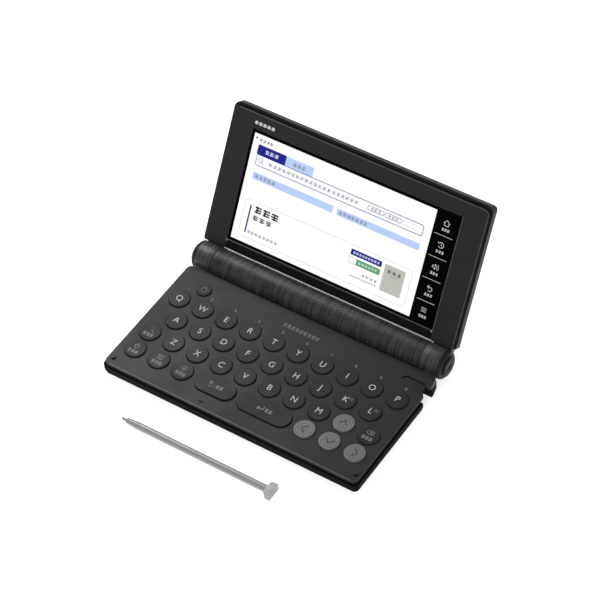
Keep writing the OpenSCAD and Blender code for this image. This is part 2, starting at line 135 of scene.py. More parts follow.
def uneven_gloss(tree, shader, roughness, amount, size):
    """Roughness that varies as on a handled surface."""
    value = mapped(tree, object_noise(tree, size, 3), roughness - amount, roughness + amount)
    tree.links.new(value, shader.inputs["Roughness"])


def bump_from(tree, shader, height, strength, distance):
    """Bump whose height comes from an output socket."""
    bump = node(tree, "ShaderNodeBump", strength=strength, distance=distance)
    tree.links.new(height, bump.inputs["Height"])
    tree.links.new(bump.outputs["Normal"], shader.inputs["Normal"])
    return bump


def edge_wear_and_highlight(tree, shader, mix, colour):
    """Edges made a little lighter, over the mottled colour, where the surface turns sharply: a
    painted highlight where edges catch the light, with a little rubbed wear.
    """
    geometry = node(tree, "ShaderNodeNewGeometry")
    rounded_off = node(tree, "ShaderNodeBevel", samples=4, radius=0.3 * MM)
    compare = node(tree, "ShaderNodeVectorMath", operation="DOT_PRODUCT")
    tree.links.new(geometry.outputs["Normal"], compare.inputs[0])
    tree.links.new(rounded_off.outputs["Normal"], compare.inputs[1])
    highlight_and_wear_amount = node(tree, "ShaderNodeMapRange", clamp=True)
    highlight_and_wear_amount.inputs["From Min"].default_value = 0.82
    highlight_and_wear_amount.inputs["From Max"].default_value = 0.99
    highlight_and_wear_amount.inputs["To Min"].default_value = 1
    highlight_and_wear_amount.inputs["To Max"].default_value = 0
    tree.links.new(compare.outputs["Value"], highlight_and_wear_amount.inputs["Value"])
    over = node(tree, "ShaderNodeMix", data_type="RGBA")
    tree.links.new(highlight_and_wear_amount.outputs["Result"], over.inputs["Factor"])
    tree.links.new(mix.outputs["Result"], over.inputs["A"])
    over.inputs["B"].default_value = (*colour, 1)
    tree.links.new(over.outputs["Result"], shader.inputs["Base Color"])


def moulded_plastic(name, colour, roughness, grain=0.22, depth=0.02, edge=2.2, sheen=0.3):
    """Dark moulded plastic with a spark-eroded grain, uneven gloss, and edges lightened by the edge
    factor as a painted highlight with a little wear.
    """
    made, tree, shader = material(name, colour, roughness)
    mix = mottle(tree, shader, colour, 0.10, 9 * MM)
    # lighter edges: painted highlight, with a little wear
    edge_wear_and_highlight(tree, shader, mix, [c * edge for c in colour])
    uneven_gloss(tree, shader, roughness, 0.05, 16 * MM)
    bump_from(tree, shader, object_noise(tree, grain * MM, 1), 0.5, depth * MM)
    shader.inputs["Specular IOR Level"].default_value = sheen
    return made


def turned_plastic(name, colour, roughness):
    """Dark plastic turned in a lathe: noise bands round the hinge axis give a fine bump, and also
    make the colour lighter and darker as painted highlights and shade on the rings.
    """
    made, tree, shader = material(name, colour, roughness)
    place = node(tree, "ShaderNodeTexCoord")
    squeeze = node(tree, "ShaderNodeMapping")
    squeeze.inputs["Scale"].default_value = (1, 0.06, 0.06)
    turning_marks_and_painted_sheen = node(tree, "ShaderNodeTexNoise", scale=1 / (0.9 * MM), detail=4.0)
    tree.links.new(place.outputs["Object"], squeeze.inputs["Vector"])
    tree.links.new(squeeze.outputs["Vector"], turning_marks_and_painted_sheen.inputs["Vector"])
    # colour lighter and darker with the same noise: painted highlights and shade on the rings
    mix = node(tree, "ShaderNodeMix", data_type="RGBA")
    mix.inputs["A"].default_value = (*[0.4 * c for c in colour], 1)
    mix.inputs["B"].default_value = (*[1.8 * c for c in colour], 1)
    tree.links.new(mapped(tree, turning_marks_and_painted_sheen.outputs["Fac"], 0, 1), mix.inputs["Factor"])
    tree.links.new(mix.outputs["Result"], shader.inputs["Base Color"])
    uneven_gloss(tree, shader, roughness, 0.07, 8 * MM)
    bump_from(tree, shader, turning_marks_and_painted_sheen.outputs["Fac"], 0.4, 0.03 * MM)
    return made


def rubber(name):
    """Matt black rubber with a faint bloom."""
    colour = (0.012, 0.012, 0.013)
    made, tree, shader = material(name, colour, 0.85)
    mottle(tree, shader, colour, 0.3, 2 * MM)
    bump_from(tree, shader, object_noise(tree, 0.3 * MM, 3), 0.6, 0.03 * MM)
    shader.inputs["Specular IOR Level"].default_value = 0.25
    return made


def spun_metal(name, colour, roughness, step):
    """Metal with fine lines left by turning or drawing it along X."""
    made, tree, shader = material(name, colour, roughness, 1.0)
    place = node(tree, "ShaderNodeTexCoord")
    lines = node(tree, "ShaderNodeTexWave", scale=1 / step, distortion=0.6, detail=2.0)
    tree.links.new(place.outputs["Object"], lines.inputs["Vector"])
    mottle(tree, shader, colour, 0.08, 3 * MM)
    uneven_gloss(tree, shader, roughness, 0.07, 4 * MM)
    bump_from(tree, shader, lines.outputs["Fac"], 0.15, 0.01 * MM)
    return made


def silver_paint(name):
    """Painted silver-grey plastic of the stylus, with fine flakes."""
    colour = (0.36, 0.36, 0.37)
    made, tree, shader = material(name, colour, 0.42, 0.35)
    mix = mottle(tree, shader, colour, 0.09, 0.35 * MM)
    # lighter edges: painted highlight, with a little wear
    edge_wear_and_highlight(tree, shader, mix, (0.42, 0.42, 0.43))
    uneven_gloss(tree, shader, 0.42, 0.06, 5 * MM)
    bump_from(tree, shader, object_noise(tree, 0.18 * MM, 2), 0.35, 0.015 * MM)
    return made


def arrow_cap(name, centre):
    """Grey cap whose top carries fine concentric lines round its own centre."""
    colour = (0.10, 0.10, 0.10)
    made, tree, shader = material(name, colour, 0.42, 0.1)
    place = node(tree, "ShaderNodeTexCoord")
    shift = node(tree, "ShaderNodeMapping")
    shift.inputs["Location"].default_value = (-centre.x, -centre.y, 0)
    shift.inputs["Scale"].default_value = (1, 1, 0)
    rings = node(tree, "ShaderNodeTexWave", wave_type="RINGS", rings_direction="SPHERICAL",
                 scale=0.314 / (1.1 * MM), distortion=1.6, detail=2.0, detail_scale=1.4)
    tree.links.new(place.outputs["Object"], shift.inputs["Vector"])
    tree.links.new(shift.outputs["Vector"], rings.inputs["Vector"])
    mix = node(tree, "ShaderNodeMix", data_type="RGBA")
    mix.inputs["A"].default_value = (0.04, 0.04, 0.04, 1)
    mix.inputs["B"].default_value = (0.22, 0.22, 0.22, 1)
    tree.links.new(rings.outputs["Fac"], mix.inputs["Factor"])
    tree.links.new(mix.outputs["Result"], shader.inputs["Base Color"])
    uneven_gloss(tree, shader, 0.38, 0.05, 3 * MM)
    bump_from(tree, shader, rings.outputs["Fac"], 0.4, 0.02 * MM)
    return made


def gloss_black(name, roughness=0.12):
    """Black-backed glass, coated against reflections, with faint smears."""
    colour = (0.0012, 0.0012, 0.0014)
    made, tree, shader = material(name, colour, roughness)
    mottle(tree, shader, colour, 0.2, 12 * MM)
    uneven_gloss(tree, shader, roughness, 0.04, 10 * MM)
    bump_from(tree, shader, object_noise(tree, 6 * MM, 1), 0.05, 0.01 * MM)
    shader.inputs["Specular IOR Level"].default_value = 0.03
    return made


def lit_pixels(name, colour, power):
    """A patch of the lit display: it glows evenly, with a fine pixel grain under gloss."""
    made, tree, shader = material(name, [0.02 * c for c in colour], 0.18)
    grain = mapped(tree, object_noise(tree, 0.12 * MM, 0), power * 0.985, power * 1.015)
    shader.inputs["Emission Color"].default_value = (*colour, 1)
    tree.links.new(grain, shader.inputs["Emission Strength"])
    shader.inputs["Specular IOR Level"].default_value = 0.2
    return made


def printed_ink(name, colour):
    """Pad-printed ink, a little uneven."""
    made, tree, shader = material(name, colour, 0.55)
    mottle(tree, shader, colour, 0.12, 0.5 * MM)
    bump_from(tree, shader, object_noise(tree, 0.15 * MM, 1), 0.3, 0.008 * MM)
    return made


def circuit_board(name):
    """Green solder mask over faint copper tracks."""
    colour = (0.012, 0.085, 0.035)
    made, tree, shader = material(name, colour, 0.35)
    place = node(tree, "ShaderNodeTexCoord")
    tracks = node(tree, "ShaderNodeTexBrick", scale=1 / (6 * MM), mortar_size=0.012)
    tracks.inputs["Color1"].default_value = (*colour, 1)
    tracks.inputs["Color2"].default_value = (0.010, 0.070, 0.030, 1)
    tracks.inputs["Mortar"].default_value = (0.03, 0.15, 0.06, 1)
    tree.links.new(place.outputs["Object"], tracks.inputs["Vector"])
    tree.links.new(tracks.outputs["Color"], shader.inputs["Base Color"])
    bump_from(tree, shader, tracks.outputs["Fac"], 0.2, 0.02 * MM)
    return made


def cell_jacket(name):
    """Printed foil jacket of an AA cell: copper-coloured band and black body, no lettering."""
    made, tree, shader = material(name, (0.02, 0.02, 0.02), 0.28, 0.6)
    place = node(tree, "ShaderNodeTexCoord")
    bands = node(tree, "ShaderNodeTexWave", scale=0.31 / (25 * MM))
    tree.links.new(place.outputs["Object"], bands.inputs["Vector"])
    ramp = node(tree, "ShaderNodeValToRGB")
    ramp.color_ramp.elements[0].color = (0.02, 0.02, 0.022, 1)
    ramp.color_ramp.elements[1].color = (0.50, 0.26, 0.10, 1)
    ramp.color_ramp.elements[0].position = 0.62
    ramp.color_ramp.elements[1].position = 0.64
    tree.links.new(bands.outputs["Fac"], ramp.inputs["Fac"])
    tree.links.new(ramp.outputs["Color"], shader.inputs["Base Color"])
    uneven_gloss(tree, shader, 0.28, 0.05, 5 * MM)
    bump_from(tree, shader, object_noise(tree, 2 * MM, 2), 0.1, 0.02 * MM)
    return made


CASE = moulded_plastic("case_plastic", (0.006, 0.006, 0.007), 0.5, edge=3.0, sheen=0.02)
DECK = moulded_plastic("deck_plastic", (0.018, 0.018, 0.021), 0.40, edge=4.0, sheen=0.22)
TUBE = turned_plastic("tube_plastic", (0.040, 0.040, 0.045), 0.38)
COVER = moulded_plastic("cover_plastic", (0.016, 0.016, 0.018), 0.42, edge=3.0, sheen=0.14)
# darker copy of the cover plastic for the knuckle end faces: painted shade
SHADED_CAP = moulded_plastic("cap_painted_shade", (0.011, 0.011, 0.012), 0.45, edge=2.0, sheen=0.1)
BEZEL = moulded_plastic("bezel_plastic", (0.018, 0.018, 0.020), 0.44, 0.25, 0.015, sheen=0.22)
# lighter copy of the plastic, used only for painted highlights along edges
PAINTED_HIGHLIGHT = moulded_plastic("painted_highlight_plastic", (0.075, 0.075, 0.078), 0.36, 0.3, 0.01, sheen=0.5)
KEY = moulded_plastic("key_plastic", (0.016, 0.016, 0.018), 0.40, 0.25, 0.012, edge=3.0, sheen=0.2)
INNER = moulded_plastic("inner_plastic", (0.012, 0.012, 0.013), 0.6, 0.5, 0.03)
MEMBRANE = moulded_plastic("membrane", (0.35, 0.36, 0.38), 0.5, 0.6, 0.03, 1.1)
RUBBER = rubber("rubber")
BOARD = circuit_board("circuit_board")
CELLS = cell_jacket("cell_jacket")
STEEL = spun_metal("plated_steel", (0.58, 0.58, 0.60), 0.28, 0.25 * MM)
SCREWS = spun_metal("screw_steel", (0.10, 0.10, 0.11), 0.36, 0.2 * MM)
STYLUS = silver_paint("stylus_plastic")
GLASS = gloss_black("glass")
BACKLIGHT = lit_pixels("lcd", (0.90, 0.92, 1.0), 0.6)
WHITE_INK = printed_ink("white_ink", (0.62, 0.62, 0.64))
SOFT_INK = printed_ink("soft_ink", (0.34, 0.34, 0.35))
FAINT_INK = printed_ink("faint_ink", (0.20, 0.20, 0.21))
DARK_INK = printed_ink("dark_ink", (0.012, 0.012, 0.012))
# near-white for the painted highlight along the bezel's lower edge
EDGE_GLINT = printed_ink("painted_edge_glint", (0.72, 0.71, 0.70))
# light grey for two painted highlights at the window's lower corners
CORNER_GLINT_PAINT = printed_ink("painted_corner_glint", (0.30, 0.30, 0.31))


# ---- geometry helpers ----

def middle(name):
    """Centre of a CAD node's box."""
    low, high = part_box(name)
    return (low + high) / 2


def lid_matrix():
    """Display coordinates: x along the hinge, y up the display, z out of its face."""
    joint = next(j for j in frame["joints"] if j["name"] == "lid_hinge")
    tilt = math.pi + math.radians(joint["range_deg"][0])
    return Matrix.Translation(middle("hinge_pins")) @ Matrix.Rotation(tilt, 4, "X")


LID = lid_matrix()


def lid_box(name):
    """Lowest and highest corner of a display node, in display coordinates."""
    back = LID.inverted()
    points = [back @ v.co for v in nodes[name].data.vertices]
    low = Vector([min(p[i] for p in points) for i in range(3)])
    high = Vector([max(p[i] for p in points) for i in range(3)])
    return low, high


def piece(name, mesh, finish, body, place=None):
    """An object from a mesh, placed, finished and riding on a body."""
    made = bpy.data.objects.new(name, mesh)
    bpy.context.scene.collection.objects.link(made)
    made.matrix_world = place or Matrix.Identity(4)
    made.data.materials.clear()
    made.data.materials.append(finish)
    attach(made, body)
    return made


def mesh_from(bm, name, smooth=False):
    """Closes a bmesh into a mesh with outward normals."""
    bmesh.ops.recalc_face_normals(bm, faces=bm.faces)
    mesh = bpy.data.meshes.new(name)
    bm.to_mesh(mesh)
    bm.free()
    for polygon in mesh.polygons:
        polygon.use_smooth = smooth
    return mesh


def arc(centre, radius, start, end, steps=6):
    """Points on a circular arc between two angles in degrees."""
    turn = [math.radians(start + (end - start) * i / steps) for i in range(steps + 1)]
    return [(centre[0] + radius * math.cos(a), centre[1] + radius * math.sin(a)) for a in turn]


def rounded(x0, x1, y0, y1, r):
    """Outline of a rectangle with round corners."""
    return (arc((x1 - r, y1 - r), r, 0, 90) + arc((x0 + r, y1 - r), r, 90, 180)
            + arc((x0 + r, y0 + r), r, 180, 270) + arc((x1 - r, y0 + r), r, 270, 360))


def stroke(a, b, width):
    """Outline of a straight line of some width, with round ends."""
    across = math.degrees(math.atan2(b[1] - a[1], b[0] - a[0]))
    return arc(a, width / 2, across + 90, across + 270) + arc(b, width / 2, across - 90, across + 90)


def strokes(points, width):
    """Outlines of the lines that join the points in turn."""
    return [stroke(a, b, width) for a, b in zip(points, points[1:])]


def loop_strokes(outline, width):
    """Outlines of the lines that follow a closed outline."""
    return strokes(outline + outline[:1], width)


def plates(outlines, z0, z1):
    """Closed thin plates from outlines given in millimetres, between two heights in metres."""
    bm = bmesh.new()
    for outline in outlines:
        lower = [bm.verts.new((x * MM, y * MM, z0)) for x, y in outline]
        upper = [bm.verts.new((x * MM, y * MM, z1)) for x, y in outline]
        bm.faces.new(list(reversed(lower)))
        bm.faces.new(upper)
        count = len(outline)
        for i in range(count):
            j = (i + 1) % count
            bm.faces.new((lower[i], lower[j], upper[j], upper[i]))
    return bm


def moved(outlines, dx, dy):
    """The same outlines shifted."""
    return [[(x + dx, y + dy) for x, y in outline] for outline in outlines]


def turned(outlines, degrees):
    """The same outlines turned about the origin."""
    c = math.cos(math.radians(degrees))
    s = math.sin(math.radians(degrees))
    return [[(c * x - s * y, s * x + c * y) for x, y in outline] for outline in outlines]


# ---- carried-over CAD nodes ----

def finish_node(name, finish):
    """Gives a CAD node its material."""
    shown = nodes[name]
    shown.data.materials.clear()
    shown.data.materials.append(finish)


def even_shading():
    """Modifier group that shades smooth across edges under 30 degrees and breaks at others."""
    tree = bpy.data.node_groups.new("even_shading", "GeometryNodeTree")
    tree.interface.new_socket("Geometry", in_out="INPUT", socket_type="NodeSocketGeometry")
    tree.interface.new_socket("Geometry", in_out="OUTPUT", socket_type="NodeSocketGeometry")
    start = tree.nodes.new("NodeGroupInput")
    end = tree.nodes.new("NodeGroupOutput")
    bare = tree.nodes.new("GeometryNodeRemoveAttribute")
    bare.inputs["Name"].default_value = "custom_normal"
    faces = tree.nodes.new("GeometryNodeSetShadeSmooth")
    edges = tree.nodes.new("GeometryNodeSetShadeSmooth")
    edges.domain = "EDGE"
    angle = tree.nodes.new("GeometryNodeInputMeshEdgeAngle")
    gentle = tree.nodes.new("FunctionNodeCompare")
    gentle.operation = "LESS_THAN"
    gentle.inputs["B"].default_value = math.radians(30)
    tree.links.new(start.outputs["Geometry"], bare.inputs["Geometry"])
    tree.links.new(bare.outputs["Geometry"], faces.inputs["Geometry"])
    tree.links.new(faces.outputs["Geometry"], edges.inputs["Geometry"])
    tree.links.new(angle.outputs["Unsigned Angle"], gentle.inputs["A"])
    tree.links.new(gentle.outputs["Result"], edges.inputs["Shade Smooth"])
    tree.links.new(edges.outputs["Geometry"], end.inputs["Geometry"])
    return tree


EVEN_SHADING = even_shading()


def soften(name, width, segments=2):
    """Rounds a CAD node's sharp edges with modifiers, leaving its mesh alone."""
    shown = nodes[name]
    weld = shown.modifiers.new("weld", "WELD")
    weld.merge_threshold = 0.001 * MM
    flat = shown.modifiers.new("flat", "DECIMATE")
    flat.decimate_type = "DISSOLVE"
    flat.angle_limit = math.radians(0.5)
    shading = shown.modifiers.new("shading", "NODES")
    shading.node_group = EVEN_SHADING
    edge = shown.modifiers.new("edge", "BEVEL")
    edge.width = width * MM
    edge.segments = segments
    edge.limit_method = "ANGLE"
    edge.angle_limit = math.radians(35)
    edge.use_clamp_overlap = True
    edge.harden_normals = True


def dress_cad():
    """Materials and edge rounding for the nodes that show as they are."""
    finishes = {
        "bottom_case": CASE, "keyboard_deck": DECK, "key_membrane": MEMBRANE, "main_board": BOARD,
        "speaker": INNER, "usb_socket": STEEL, "earphone_jack": INNER, "stylus_sleeve": INNER,
        "batteries": CELLS, "battery_contacts": STEEL, "torque_sleeves": STEEL,
        "hinge_pins": STEEL, "display_back_cover": COVER, "display_bezel": BEZEL,
        "lcd_panel": BACKLIGHT, "touch_glass": GLASS, "stylus": STYLUS, "rubber_feet": RUBBER,
        "deck_bumpers": DECK, "case_screws": SCREWS,
    }
    for name, finish in finishes.items():
        finish_node(name, finish)
    for name in PLAIN_KEYS:
        finish_node(name, KEY)
        soften(name, 0.12 if name not in WIDE_KEYS else 0.4, 2)
    for name in ARROWS:
        finish_node(name, arrow_cap("arrow_key_plastic_" + name[4:], middle(name)))
        soften(name, 0.12)
    soften("bottom_case", 0.5, 3)
    soften("keyboard_deck", 0.22)
    soften("display_back_cover", 0.35)
    soften("display_bezel", 0.35)
    soften("stylus", 0.12)
    soften("deck_bumpers", 0.45, 3)


# ---- hinge tube and battery cover ----

RING_PITCH = 1.0
RING_DEPTH = 0.3


def ring_stations(x0, x1):
    """Pairs of x and how far the outside is cut back there, for rings from x0 to x1."""
    count = max(1, round((x1 - x0) / RING_PITCH))
    pitch = (x1 - x0) / count
    stations = []
    for i in range(count):
        start = x0 + i * pitch
        stations += [(start, RING_DEPTH), (start + 0.16 * pitch, 0.0),
                     (start + 0.64 * pitch, 0.0), (start + 0.8 * pitch, RING_DEPTH)]
    return stations + [(x1, RING_DEPTH)]


def pipe(bm, stations, outer, inner, start, end, steps):
    """Closed shell of a pipe, or of part of one between two angles, along the hinge.

    Angles are in degrees, 0 to the back and 90 up. Radii are in millimetres.
    """
    full = abs(end - start) >= 360
    count = steps if full else steps + 1
    turn = [math.radians(start + (end - start) * i / steps) for i in range(count)]
    outside = []
    for x, cut in stations:
        r = outer - cut
        outside.append([bm.verts.new((x * MM, r * MM * math.cos(a), r * MM * math.sin(a)))
                        for a in turn])
    inside = []
    for x in (stations[0][0], stations[-1][0]):
        inside.append([bm.verts.new((x * MM, inner * MM * math.cos(a), inner * MM * math.sin(a)))
                       for a in turn])
    strips = [(a, b) for a, b in zip(outside, outside[1:])]
    strips += [(inside[1], inside[0]), (inside[0], outside[0]), (outside[-1], inside[1])]
    for a, b in strips:
        for i in range(count if full else count - 1):
            j = (i + 1) % count
            bm.faces.new((a[i], a[j], b[j], b[i]))
    if not full:
        for i in (0, -1):
            bm.faces.new([row[i] for row in outside] + [inside[1][i], inside[0][i]])


def tube_radius():
    """Outer radius of the hinge tube, in millimetres."""
    return (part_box("battery_tube")[1].z - middle("hinge_pins").z) / MM


def hinge_tube():
    """Fixed ringed tube: closed ends round the hinge sleeves, and the open trough of the bay."""
    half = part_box("battery_tube")[1].x / MM
    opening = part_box("battery_cover")[1].x / MM + 0.3
    outer = tube_radius()
    bay = outer - 0.75
    sleeve = 5.0
    lug_x = 25
    lug_y = -9.9
    lug_z = -4.9
    lug_size = Vector((8, 7, 1.6))
    bm = bmesh.new()
    for side in (-1, 1):
        ends = sorted((side * opening, side * half))
        pipe(bm, ring_stations(*ends), outer, sleeve, 0, 360, 72)
    pipe(bm, ring_stations(-opening, opening), outer, bay, 32, 238, 44)
    for side in (-1, 1):
        lug = bmesh.ops.create_cube(bm, size=1)["verts"]
        bmesh.ops.scale(bm, verts=lug, vec=lug_size * MM)
        bmesh.ops.translate(bm, verts=lug, vec=Vector((side * lug_x, lug_y, lug_z)) * MM)
    mesh = mesh_from(bm, "hinge_tube_rings")
    place = Matrix.Translation(middle("hinge_pins"))
    made = piece("hinge_tube_rings", mesh, TUBE, "base", place)
    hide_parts("battery_tube")


def ringed_cover():
    """Battery cover with the same rings as the tube."""
    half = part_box("battery_cover")[1].x / MM
    outer = tube_radius()
    bm = bmesh.new()
    pipe(bm, ring_stations(-half, half), outer, outer - 0.7, -120, 30, 36)
    mesh = mesh_from(bm, "battery_cover_rings")
    place = Matrix.Translation(middle("hinge_pins"))
    made = piece("battery_cover_rings", mesh, TUBE, "battery_cover", place)
    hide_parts("battery_cover")


def knuckle_skin(side, name):
    """Turned skin on one of the display's two hinge knuckles, up to its round edge."""
    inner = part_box("battery_tube")[1].x / MM + 0.35
    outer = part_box("display_back_cover")[1].x / MM - 3.2
    start, end = sorted((side * inner, side * outer))
    stations = [(start, 0.03), (start + 0.1, 0), (end - 0.1, 0), (end, 0.03)]
    bm = bmesh.new()
    pipe(bm, stations, tube_radius() + 0.02, tube_radius() - 0.2, 0, 360, 96)
    place = Matrix.Translation(middle("hinge_pins"))
    piece(name, mesh_from(bm, name, True), TUBE, "display", place)


def knuckle_cap(side, name):
    """Disc on the end face of a knuckle, inside its round edge, in a darker plastic as painted shade.
    """
    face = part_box("display_back_cover")[1].x / MM - 0.01
    stations = sorted([(side * (face - 0.3), 0.03), (side * face, 0.03)])
    edge_r = 2.4
    bm = bmesh.new()
    pipe(bm, stations, tube_radius() - edge_r, 0.4, 0, 360, 96)
    place = Matrix.Translation(middle("hinge_pins"))
    piece(name, mesh_from(bm, name, True), SHADED_CAP, "display", place)


def knuckles():
    """Skins and end caps of the display's two hinge knuckles."""
    for side, hand in ((-1, "left"), (1, "right")):
        knuckle_skin(side, "knuckle_skin_" + hand)
        knuckle_cap(side, "knuckle_cap_" + hand)


# ---- marks on the keys and on the deck ----

def letter_mesh(text, size, weight=-0.004):
    """Flat printed character centred on its origin, size being its height in millimetres."""
    curve = bpy.data.curves.new("letter_" + text, "FONT")
    curve.body = text
    curve.size = size * 1.4 * MM
    curve.align_x = "CENTER"
    curve.align_y = "CENTER"
    curve.extrude = PRINT_T / 2
    curve.offset = weight * size * MM
    holder = bpy.data.objects.new("letter_holder", curve)
    bpy.context.scene.collection.objects.link(holder)
    bpy.context.view_layer.update()
    mesh = bpy.data.meshes.new_from_object(holder)
    bpy.data.objects.remove(holder)
    bpy.data.curves.remove(curve)
    return mesh


def key_letters():
    """White capital on every letter key."""
    for row in ROWS:
        for letter in row:
            key = "key_" + letter
            spot = middle(key)
            spot.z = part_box(key)[1].z + PRINT_LIFT + PRINT_T / 2
            mesh = letter_mesh(letter.upper(), 3.6)
            piece("mark_" + letter, mesh, WHITE_INK, key, Matrix.Translation(spot))


def second_marks():
    """Small grey marks beside two of the letters."""
    for letter in "kl":
        key = "key_" + letter
        spot = middle(key) + Vector((2.6, 1.4, 0)) * MM
        spot.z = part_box(key)[1].z + PRINT_LIFT
        mesh = mesh_from(plates(word_bars(-1.2, 1.2, 0, 1.3, 2), 0, PRINT_T), "second_mark")
        piece("second_mark_" + letter, mesh, FAINT_INK, key,
              Matrix.Translation(spot))


def deck_digits():
    """Small faint digits printed on the deck behind the top row of keys."""
    for i, letter in enumerate(ROWS[0]):
        spot = middle("key_" + letter)
        spot.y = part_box("key_" + letter)[1].y + 1.7 * MM
        spot.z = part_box("keyboard_deck")[1].z + PRINT_LIFT + PRINT_T / 2
        mesh = letter_mesh(str((i + 1) % 10), 1.8, 0.02)
        piece(f"digit_{(i + 1) % 10}", mesh, FAINT_INK, "base",
              Matrix.Translation(spot))


def word_bars(x0, x1, y, height, parts, weight=0.2):
    """A row of small cells of crossed strokes that stands for words without spelling any."""
    step = (x1 - x0) / parts
    dice = random.Random(round(100 * (x0 + 7 * y)))
    width = weight * height
    drawn = []
    for i in range(parts):
        left = x0 + (i + 0.08) * step
        right = x0 + (i + 0.80) * step
        for level in (-0.42, -0.02, 0.40):
            cut = dice.uniform(0, 0.3) * (right - left)
            drawn.append(stroke((left + cut, y + level * height), (right, y + level * height), width))
        spine = dice.uniform(left + 0.2 * step, right - 0.15 * step)
        drawn.append(stroke((spine, y - height / 2), (spine, y + height / 2), width))
    return drawn


def circle(centre, radius, width):
    """Ring drawn as a line."""
    return loop_strokes(arc(centre, radius, 0, 345, 23), width)


def icon_search():
    return circle((-0.4, 0.4), 1.1, 0.28) + [stroke((0.4, -0.4), (1.5, -1.5), 0.36)]


def icon_shift():
    head = [(-1.5, 0.1), (0, 1.7), (1.5, 0.1), (0.7, 0.1), (0.7, -1.4), (-0.7, -1.4), (-0.7, 0.1)]
    return loop_strokes(head, 0.26)


def icon_list():
    return [stroke((-1.7, y), (1.7, y), 0.3) for y in (-1.2, 0, 1.2)]


def icon_zoom():
    lens = circle((0, 0), 1.6, 0.26)
    return lens + [stroke((-0.8, 0), (0.8, 0), 0.28), stroke((0, -0.8), (0, 0.8), 0.28)]


def icon_delete():
    body = [(-2.0, 0), (-0.9, 1.1), (1.9, 1.1), (1.9, -1.1), (-0.9, -1.1)]
    cross = [stroke((0, -0.5), (1, 0.5), 0.24), stroke((0, 0.5), (1, -0.5), 0.24)]
    return loop_strokes(body, 0.24) + cross


def icon_back():
    bend = arc((0.4, -0.1), 1.2, 90, -90, 8)
    tail = strokes([(-1.4, 1.1)] + bend + [(-0.8, -1.3)], 0.34)
    return tail + strokes([(-0.6, 2.0), (-1.6, 1.1), (-0.6, 0.2)], 0.34)


def icon_enter():
    hook = strokes([(1.8, 1.4), (1.8, -0.5), (-1.6, -0.5)], 0.34)
    return hook + strokes([(-0.7, 0.5), (-1.7, -0.5), (-0.7, -1.5)], 0.34)


def icon_power():
    ring = strokes(arc((0, 0), 1.5, 122, 418, 20), 0.26)
    return ring + [stroke((0, 0.8), (0, 1.9), 0.26)]


def chevron():
    """Open arrow that points along X."""
    return strokes([(-0.9, 2.3), (1.5, 0), (-0.9, -2.3)], 0.62)


def mark_key(key, outlines, ink):
    """Prints outlines on top of a key."""
    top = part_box(key)[1].z + PRINT_LIFT
    spot = middle(key)
    bm = plates(outlines, 0, PRINT_T)
    place = Matrix.Translation((spot.x, spot.y, top))
    piece("mark_" + key[4:], mesh_from(bm, "mark"), ink, key, place)


def key_icons():
    """Generic icons on the function keys and chevrons on the arrow keys."""
    icons = {"key_search": icon_search, "key_shift": icon_shift, "key_list": icon_list,
             "key_zoom": icon_zoom, "key_delete": icon_delete, "key_back": icon_back,
             "key_enter": icon_enter, "key_power": icon_power}
    for key, draw in icons.items():
        if key == "key_power":
            mark_key(key, draw(), SOFT_INK)
        elif key in WIDE_KEYS:
            mark_key(key, moved(draw(), -2.4, 0) + word_bars(0.2, 4.8, 0, 2.0, 2), SOFT_INK)
        else:
            mark_key(key, moved(draw(), 0, 1.5) + word_bars(-3.1, 3.3, -2.2, 1.9, 3), SOFT_INK)
    for key, heading in ARROWS.items():
        mark_key(key, turned(chevron(), heading), DARK_INK)


# ---- display trim and picture ----

# the display's picture area, in millimetres along and up the display
PAGE = {"left": -62.8, "right": 49.3, "bottom": 15.6, "top": 75.5}
PAGE_T = 0.02 * MM


def on_glass(name, outlines, finish, layer):
    """A layer of the picture, on the front of the glass."""
    face = lid_box("touch_glass")[1].z
    lift = (0.01 + 0.03 * layer) * MM
    bm = plates(outlines, face + lift, face + lift + PAGE_T)
    piece(name, mesh_from(bm, name), finish, "display", LID)


def screen_page():
    """White page, its two tabs, and the pale headings under the search line."""
    page = rounded(PAGE["left"], PAGE["right"], PAGE["bottom"], PAGE["top"], 0.1)
    on_glass("screen_page", [page], lit_pixels("page_white", (0.985, 0.985, 0.99), 1.0), 0)
    pale = lit_pixels("page_pale_blue", (0.48, 0.62, 0.93), 1.0)
    tab = rounded(-41.3, -24.1, 64.9, 70.0, 0.5)
    headings = [rounded(-58.4, -8.0, 51.0, 54.9, 0.5), rounded(-5.4, 44.8, 51.0, 54.7, 0.5)]
    on_glass("screen_pale_bars", [tab] + headings, pale, 1)
    navy = lit_pixels("page_navy", (0.012, 0.014, 0.26), 1.0)
    solid = [rounded(-59.1, -41.3, 64.8, 70.2, 0.6), rounded(8.1, 27.0, 34.2, 37.4, 0.2),
             rounded(-55.6, -54.7, 21.4, 37.0, 0.1)]
    box = loop_strokes(rounded(-58.5, 44.6, 58.9, 64.7, 1.2), 0.35)
    buttons = [loop_strokes(rounded(x, x + 9.7, 60.7, 63.1, 0.7), 0.26) for x in (11.2, 21.8)]
    on_glass("screen_navy", solid + box + sum(buttons, []), navy, 2)


def screen_card():
    """Result card with its outline, a green label and a grey book cover."""
    line = lit_pixels("page_line", (0.56, 0.58, 0.58), 1.0)
    card = loop_strokes(rounded(-59.0, 45.0, 18.8, 39.6, 1.8), 0.22)
    button = loop_strokes(rounded(32.4, 42.1, 60.7, 63.1, 0.7), 0.2)
    on_glass("screen_card_line", card + button, line, 1)
    green = lit_pixels("page_green", (0.10, 0.36, 0.16), 1.0)
    on_glass("screen_green_label", [rounded(12.5, 26.9, 29.7, 32.9, 0.3)], green, 2)
    outline = loop_strokes(rounded(7.9, 26.9, 29.7, 32.9, 0.3), 0.2)
    on_glass("screen_green_line", outline, green, 3)
    stone = lit_pixels("page_stone", (0.50, 0.51, 0.46), 1.0)
    on_glass("screen_book", [rounded(29.0, 41.4, 22.4, 37.2, 0.4)], stone, 2)


